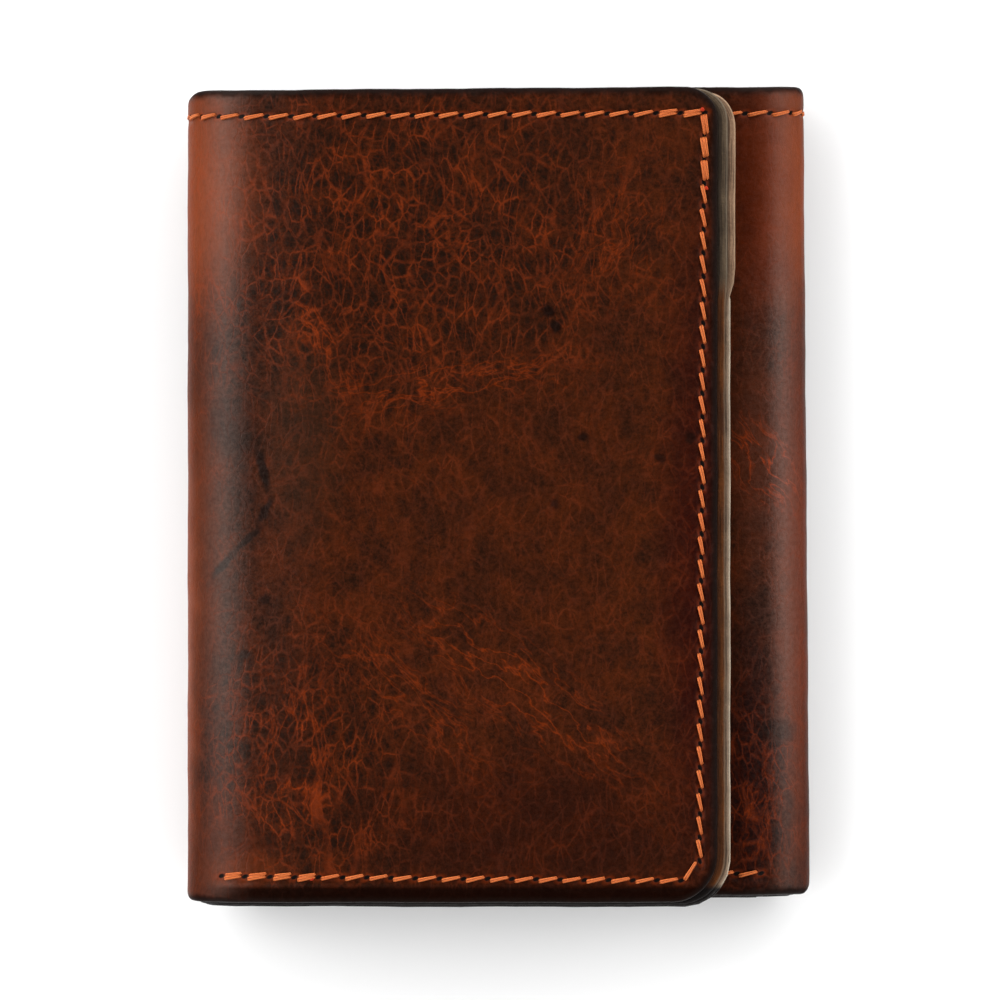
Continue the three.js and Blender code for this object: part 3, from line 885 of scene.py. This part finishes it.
def stitch(start, end, tone, lift, side, fat, inside):
    """One stitch between two holes, in leather coordinates: its points and their strand values.

    start and end are (u, v), or (u, v, h) for a stitch inside, which lies on the leather's inner face, at h.
    side shifts it sideways, and fat is its thickness, where 1 is usual.
    """
    start, end = np.array([*start, 0.0][:3]), np.array([*end, 0.0][:3])
    run = end - start
    length = np.linalg.norm(run)
    way = run / length
    across = np.array([-way[1], way[0], 0.0])
    t = np.linspace(0, 1, ALONG + 1)
    t = t + CROWDING * np.sin(2 * np.pi * t) / (2 * np.pi)
    travel = HOLE_ROOM + (length - 2 * HOLE_ROOM) * t
    outwards = np.array([0, 0, 1.0 if inside else -1.0])
    slant = STITCH_SLANT * (2 * t - 1) + side
    up = ease(t, -0.02, 0.14) * (1 - ease(t, 0.86, 1.02))
    height = (SUNK + lift) * up - SUNK
    line = start + np.outer(travel, way) + np.outer(slant, across) + np.outer(height, outwards)
    radius = fat * (THREAD_RADIUS[0] + (THREAD_RADIUS[1] - THREAD_RADIUS[0]) * t)
    tangent = np.gradient(line, axis=0)
    tangent /= np.linalg.norm(tangent, axis=1)[:, None]
    normal = outwards - (tangent @ outwards)[:, None] * tangent
    normal /= np.linalg.norm(normal, axis=1)[:, None]
    binormal = np.cross(tangent, normal)
    angle = 2 * np.pi * np.arange(AROUND) / AROUND
    along = t[:, None] * length
    lobes = 1 + FLATNESS * np.cos(2 * angle) - PLY_DEPTH * np.cos(4 * angle + PLY_TWIST * along)
    sideways, upwards = np.cos(angle)[:, None] * binormal[:, None], np.sin(angle)[:, None] * normal[:, None]
    points = line[:, None] + radius[:, None, None] * lobes[:, :, None] * (sideways + upwards)
    strand = np.stack(np.broadcast_arrays(along, angle, tone), axis=-1)
    return points.reshape(-1, 3), strand.reshape(-1, 3)


def tube_faces(base):
    faces = []
    for ring in range(base, base + ALONG * AROUND, AROUND):
        for j in range(AROUND):
            k = (j + 1) % AROUND
            faces.append([ring + j, ring + k, ring + AROUND + k, ring + AROUND + j])
    last = base + ALONG * AROUND
    return faces + [list(range(base, base + AROUND))[::-1], list(range(last, last + AROUND))]


def knot(centre):
    """The melted end of a thread: a small uneven bead."""
    polar = np.pi * (np.arange(ALONG + 1)[:, None] + 0.01) / (ALONG + 0.02)
    angle = 2 * np.pi * np.arange(AROUND)[None, :] / AROUND
    ring = BEAD * np.sin(polar) * (1 + 0.12 * np.sin(3 * angle + 2 * polar))
    height = -0.2 - 0.7 * BEAD * np.cos(polar)
    shape = (centre[0] + ring * np.cos(angle), centre[1] + ring * np.sin(angle), height)
    points = np.stack(np.broadcast_arrays(*shape), axis=-1).reshape(-1, 3)
    return points, np.zeros_like(points)


def fold_pull(u):
    """How much deeper than elsewhere the thread lies at u."""
    off = [(u - middle) / FOLD_PULL_REACH for middle in (U_LEFT_MIDDLE, U_RIGHT_MIDDLE)]
    return FOLD_PULL * sum(math.exp(-value * value) for value in off)


def sew(name, stitches, behind=(), ends=()):
    """An object made of stitches, each (start, end, side, fat), of those on the inner face, each (start,
    end), and of melted ends, each (u, v).
    """
    tubes = []
    everything = [(*outside, False) for outside in stitches] + [(*pair, 0.0, 1.0, True) for pair in behind]
    for start, end, side, fat, inside in everything:
        lift = STITCH_LIFT + random.uniform(-LIFT_SPREAD, LIFT_SPREAD) - fold_pull((start[0] + end[0]) / 2)
        tubes.append(stitch(start, end, random.uniform(0, 1), lift, side, fat, inside))
    tubes += [knot(centre) for centre in ends]
    points, strands = (np.concatenate(values) for values in zip(*tubes))
    size = len(tubes[0][0])
    faces = [face for i in range(len(tubes)) for face in tube_faces(i * size)]
    melts = np.repeat([0.0, 1.0], [len(everything) * size, len(ends) * size])
    piece = make_object(name, points, faces, THREAD, {"melt": melts})
    set_vectors(piece.data, "strand", strands)
    return piece


def pairs(holes, jitter=0.05):
    """Stitches between neighbouring holes, always from the left or the top."""
    made = []
    for a, b in zip(holes[:-1], holes[1:]):
        shift = random.uniform(-jitter, jitter, 2)
        made.append((a + shift, b + shift, 0.0, random.uniform(0.94, 1.06)))
    return made


def doubled(stitches):
    """A back-stitched stretch: each stitch twice, side by side."""
    made = []
    for start, end, _, fat in stitches:
        made.append((start + 0.1, end - 0.1, -0.15, 0.98 * fat))
        made.append((start + 0.2, end, 0.16, 0.9 * fat))
    return made


def through(holes, depth):
    """The stitches that the same holes have on the inner face. depth gives h at u and v."""
    points = [np.array([u, v, depth(u, v)]) for u, v in holes]
    return list(zip(points[:-1], points[1:]))


# h of the inner face of each ply
LINING_BACK, DIVIDER_BACK, REAR_BACK, MIDDLE_BACK, FRONT_BACK = (
    DEPTH - node_box(node)[0][2]
    for node in ("lining_flap", "divider_flap", "flap_rear_pocket", "flap_middle_pocket", "flap_front_pocket")
)
PRESS = 1.35  # how far the front pocket is pressed down beside the T pockets' stems, where no ply is under it
PRESS_BELOW = (17, 23)  # v below which it is
CORNER_STITCHES = 4.5  # as far as this from a sewn edge, the top seam goes through the divider too


def inner_face(u, v):
    """h of the innermost leather beside a panel's sewn edges."""
    for ply, surface in (("rear", DIVIDER_BACK), ("middle", REAR_BACK), ("front", MIDDLE_BACK)):
        if v > node_box(f"flap_{ply}_pocket")[1][1]:
            return surface - PINCH
    return FRONT_BACK - PRESS * (1 - float(ease(v, *PRESS_BELOW))) - PINCH


def top_inner_face(u, v):
    """h of the leather behind the top seam: the lining, or a raised corner of the divider."""
    return DIVIDER_BACK - PINCH if from_sewn_edge("shell", u) < CORNER_STITCHES else LINING_BACK


def add_top_seam():
    holes = run_points("top")[::-1]
    stitches, backs = pairs(holes), through(holes, top_inner_face)
    last = len(stitches) - 1
    for stretch, ((low, high), *_) in STRETCHES.items():
        mine = [(i, s) for i, s in enumerate(stitches) if low <= (s[0][0] + s[1][0]) / 2 < high]
        single = [s for i, s in mine if 2 < i < last - 1]
        double = [s for i, s in mine if i <= 2 or i >= last - 1]
        ends = [(FLAP_SEAM_U - 0.3, TOP_SEAM_V + 0.45)] if stretch == "flap" else []
        piece = sew(f"top_stitches_{stretch}", single + doubled(double), [backs[i] for i, _ in mine], ends)
        bend_piece(piece, stretch, 0)
        replace_stretch(stretch, "top_seam")


def sew_edge(name, stretch, node, stitches, runs, ends=()):
    """A seam along a free edge. runs are the holes that it goes through on the inside."""
    behind = [pair for holes in runs for pair in through(holes, inner_face)]
    piece = sew(name, stitches, behind, ends)
    bend_piece(piece, stretch, 0)
    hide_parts(node)


def add_flap_edge_seam():
    bottom, side = run_points("flap_bottom"), run_points("flap_side")
    corner = (bottom[-1], side[-1])
    start, rest = doubled(pairs(bottom[:5])), pairs(bottom[4:])
    upper, lower = doubled(pairs(side[:4])), pairs(side[3:])
    stitches = start + rest + [(*corner, 0.0, 1.0)] + upper + lower
    ends = [bottom[4] - (0.9, 0.2), side[3] - (-0.3, 0.7)]
    sew_edge("flap_edge_stitches", "flap", "flap_edge_seam", stitches, (bottom, corner, side), ends)


def add_inner_edge_seam():
    bottom, side = run_points("inner_bottom")[::-1], run_points("inner_side")
    corner = (side[-1], bottom[0])
    stitches = pairs(bottom) + [(*corner, 0.0, 1.0)] + pairs(side)
    sew_edge("inner_panel_edge_stitches", "inner", "inner_panel_edge_seam", stitches, (bottom, corner, side))


def hold(piece, body, node):
    """Fixes a piece to a body, in place of a CAD node."""
    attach(piece, body)
    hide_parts(node)


def add_back_bottom_seam():
    holes = run_points("back_bottom")[::-1]
    piece = sew("back_bottom_stitches", pairs(holes), through(holes, inner_face))
    hold(piece, "back", "back_bottom_seam")


add_top_seam()
add_flap_edge_seam()
add_inner_edge_seam()
add_back_bottom_seam()


# ---- card pockets ----

POCKET_NEAR = np.array([0, 0.05, 0.14, 0.3, 0.6, 1.0])
POCKET_STEP = 2.5
POCKET_DOME = 0.3
POCKET_CORNER = 1.2
BAR = 14.0  # height of a T-shaped pocket's bar
WAIST = 4.5  # how much narrower the stem is, on each side
BAR_SETBACK = 0.6  # how far the bar stays behind the divider's edge and the front pocket's
SETBACK_NEAR = (-6, -2)  # minus the distances from the bar's free end over which that comes in
FREE_SIDE = {"flap": 1, "inner_panel": -1, "back": 0}  # whether the free edge has a panel's highest or lowest u


def on_panel(body, x, y, z):
    """u, v and h of a point on a panel."""
    if body == "back":
        return BACK_SHIFT - x, y, z
    return (x, y, DEPTH - z) if body == "flap" else (on_inner(x), y, INNER_TOP - z)


def box_on(body, node):
    """A CAD node's lowest and highest u, v and h."""
    return [sorted(ends) for ends in zip(*(on_panel(body, *corner) for corner in node_box(node)))]


def distance_to(outline, u, v):
    """Each grid point's distance to a closed outline."""
    best = np.full(u.shape, 1e9)
    for (u0, v0), (u1, v1) in zip(outline, outline[1:] + outline[:1]):
        du, dv = u1 - u0, v1 - v0
        t = np.clip(((u - u0) * du + (v - v0) * dv) / (du * du + dv * dv), 0, 1)
        best = np.minimum(best, np.hypot(u - u0 - t * du, v - v0 - t * dv))
    return best


def add_pocket(body, ply, us, vs, sink, shape, outline, corners=None, keep=None):
    """A card pocket on the grid us x vs. outline is None where its edge is the grid's, with round corners."""
    node = f"{body}_{ply}_pocket"
    outer, inner = box_on(body, node)[2]
    piece = slab(
        f"{node}_leather", us, vs, outer, inner - outer, POCKET, POCKET_DOME, corners, keep,
        outline and (lambda u, v: distance_to(outline, u, v)), shape, sink,
    )
    hold(piece, body, node)


def pocket_ladder(*stops):
    """Values from the first stop to the last, close together near every stop."""
    stretches = [ladder(low, high, POCKET_STEP, POCKET_NEAR) for low, high in zip(stops, stops[1:])]
    return np.unique(np.concatenate(stretches).round(6))


def add_tee_pocket(body, ply):
    (left, right), (foot, top), _ = box_on(body, f"{body}_{ply}_pocket")
    stem_left, stem_right, waist = left + WAIST, right - WAIST, top - BAR
    us, vs = pocket_ladder(left, stem_left, stem_right, right), pocket_ladder(foot, waist, top)
    centre_u, centre_v = (us[1:] + us[:-1]) / 2, (vs[1:] + vs[:-1]) / 2
    in_stem = (centre_u > stem_left) & (centre_u < stem_right)
    keep = in_stem[None, :] | (centre_v > waist)[:, None]
    outline = [
        (stem_left, foot), (stem_right, foot), (stem_right, waist), (right, waist),
        (right, top), (left, top), (left, waist), (stem_left, waist),
    ]
    side = FREE_SIDE[body]
    free = right if side > 0 else left

    def shape(u, v):
        return u - side * ease(-np.abs(u - free), *SETBACK_NEAR) * BAR_SETBACK, v

    add_pocket(body, ply, us, vs, side and pinch, shape, outline, keep=keep)


def add_straight_seam(node, body, depth):
    """A short seam on the inside of a panel. depth gives h at u and v."""
    us, vs, _ = box_on(body, node)
    upright = vs[1] - vs[0] > us[1] - us[0]
    (start, end), across = (vs, us) if upright else (us, vs)
    gaps = max(1, round((end - start) / INSIDE_PITCH))
    along, line = start + (end - start) * np.linspace(0, 1, gaps + 1), sum(across) / 2
    holes = [(line, at) if upright else (at, line) for at in along]
    hold(sew(f"{node}_stitches", [], through(holes, depth)), body, node)


PINCHED_BELOW = -45  # v below which the panels are pinched beside the folds


def fold_side_face(u, v):
    """h of the innermost leather beside a fold."""
    return inner_face(u, v) + (PINCH if v > PINCHED_BELOW else 0)


def add_pocket_seams():
    for body, sides in (("back", ("left", "right")), ("inner_panel", ("right",)), ("flap", ("left",))):
        for side in sides:
            add_straight_seam(f"{body}_{side}_pocket_seam", body, fold_side_face)
        add_straight_seam(f"{body}_rear_pocket_foot_seam", body, lambda u, v: REAR_BACK)
        add_straight_seam(f"{body}_middle_pocket_foot_seam", body, lambda u, v: MIDDLE_BACK)


LIFT_BELOW = (-54, -40)  # v between which a front pocket's bottom is moved
FOLD_LIFT = (14, 0.5)  # how far from the fold the flap's front pocket is higher, and by how much
HANG = 0.1  # how much lower than the divider the front pockets hang
PRESS_BOTTOM = -54  # v that counts as their bottom edge
PRESS_OVER = (1.2, WAIST - 0.3)  # distances from their edges over which the press fades out


def lift_bottom(body):
    """The flap's front pocket hangs lowest, except beside the fold."""
    low, _ = node_box("flap_front_pocket")
    bottoms = FLAP_BOTTOM if body == "flap" else OTHER_BOTTOM
    target = bottoms["divider"] - HANG
    more = FOLD_LIFT[1] if body == "flap" else 0

    def shape(u, v):
        lift = target - low[1] + more * (1 - ease(u, low[0], low[0] + FOLD_LIFT[0]))
        return u, v + lift * (1 - ease(v, *LIFT_BELOW))

    return shape


def pressed_on(body):
    """A front pocket lies on the T pockets' stems, and is pressed down beside them and at the bottom."""
    left, right = box_on(body, f"{body}_front_pocket")[0]

    def sink(u, v):
        near = np.minimum(np.minimum(u - left, right - u), v - PRESS_BOTTOM)
        below = 1 - ease(v, *PRESS_BELOW)
        down = -PRESS * (1 - ease(near, *PRESS_OVER)) * below
        return down + (pinch(u, v) if FREE_SIDE[body] else 0)

    return sink


def add_front_pocket(body):
    (left, right), (bottom, top), _ = box_on(body, f"{body}_front_pocket")
    us, vs = (ladder(low, high, POCKET_STEP, POCKET_NEAR) for low, high in ((left, right), (bottom, top)))
    outline, corners = [(left, bottom), (right, bottom), (right, top), (left, top)], None
    if FREE_SIDE[body]:
        outline, corners = None, (right if FREE_SIDE[body] > 0 else left, BOTTOM_CORNER, POCKET_CORNER)
    add_pocket(body, "front", us, vs, pressed_on(body), lift_bottom(body), outline, corners)


for panel in ("back", "inner_panel", "flap"):
    add_tee_pocket(panel, "rear")
    add_tee_pocket(panel, "middle")
    add_front_pocket(panel)
add_pocket_seams()


# ---- floor, light and camera ----

FLOOR_HALF = 3.0
FLOOR_Z = -0.0007  # below the folds, which bulge a little under the CAD's underside


def add_floor():
    mesh = bpy.data.meshes.new("floor")
    corners = [(x * FLOOR_HALF, y * FLOOR_HALF, 0) for x, y in ((-1, -1), (1, -1), (1, 1), (-1, 1))]
    mesh.from_pydata(corners, [], [(0, 1, 2, 3)])
    paper = Graph("white_paper")
    look = {"Base Color": (0.9, 0.9, 0.9, 1), "Roughness": 0.9, "Specular IOR Level": 0.1}
    mesh.materials.append(paper.shade(look))
    link("floor", mesh, (0, 0, FLOOR_Z))


WINDOWS = (("left", -1, 3.6), ("right", 1, 2.0))  # name, side, watts
WINDOW_AT, WINDOW_SIZE = (0.8, 0.1, 0.78), (0.55, 0.8)  # of the right one; the left one mirrors it


def add_light(name, side, watts):
    """A window of light that faces the wallet."""
    light = bpy.data.lights.new(name, "AREA")
    light.shape = "RECTANGLE"
    light.size, light.size_y = WINDOW_SIZE
    light.energy = watts
    made = link(name, light, (side * WINDOW_AT[0], *WINDOW_AT[1:]))
    made.rotation_euler = (-made.location).to_track_quat("-Z", "Y").to_euler()


CAMERA_HEIGHT = 3.0
VIEW_WIDTH = 0.13235  # what the picture shows of the flap's level
CAMERA_OFFSET = (0.00033, -0.00029)


def add_camera():
    data = bpy.data.cameras.new("camera")
    data.sensor_width = 36
    data.lens = data.sensor_width * (CAMERA_HEIGHT - DEPTH * MM) / VIEW_WIDTH
    bpy.context.scene.camera = link("camera", data, (*CAMERA_OFFSET, CAMERA_HEIGHT))


# The room is white round the sides and dark straight above, so that flat leather doesn't mirror it
DARK_ABOVE, WHITE_BELOW = 0.88, 0.62  # heights of a direction
DARK_STRENGTH, WORLD_STRENGTH = 0.02, 2.55
WORLD_LEAN = (-0.12, 0.5, 0.0)  # how much brighter the room is towards the left and the top


def add_world():
    g = Graph("studio", bpy.data.worlds, "Background")
    direction = g.node("TexCoord", {}, "Generated")
    ring = g.ramp(g.split(direction)[2], DARK_ABOVE, WHITE_BELOW, DARK_STRENGTH, WORLD_STRENGTH)
    lean = g.vector("DOT_PRODUCT", direction, WORLD_LEAN, output=1)
    strength = g.math("MULTIPLY_ADD", lean, ring, ring)
    bpy.context.scene.world = g.shade({"Color": (1, 1, 1, 1), "Strength": strength})


add_floor()
for window in WINDOWS:
    add_light(*window)
add_camera()
add_world()
bpy.context.scene.view_settings.view_transform = "Standard"
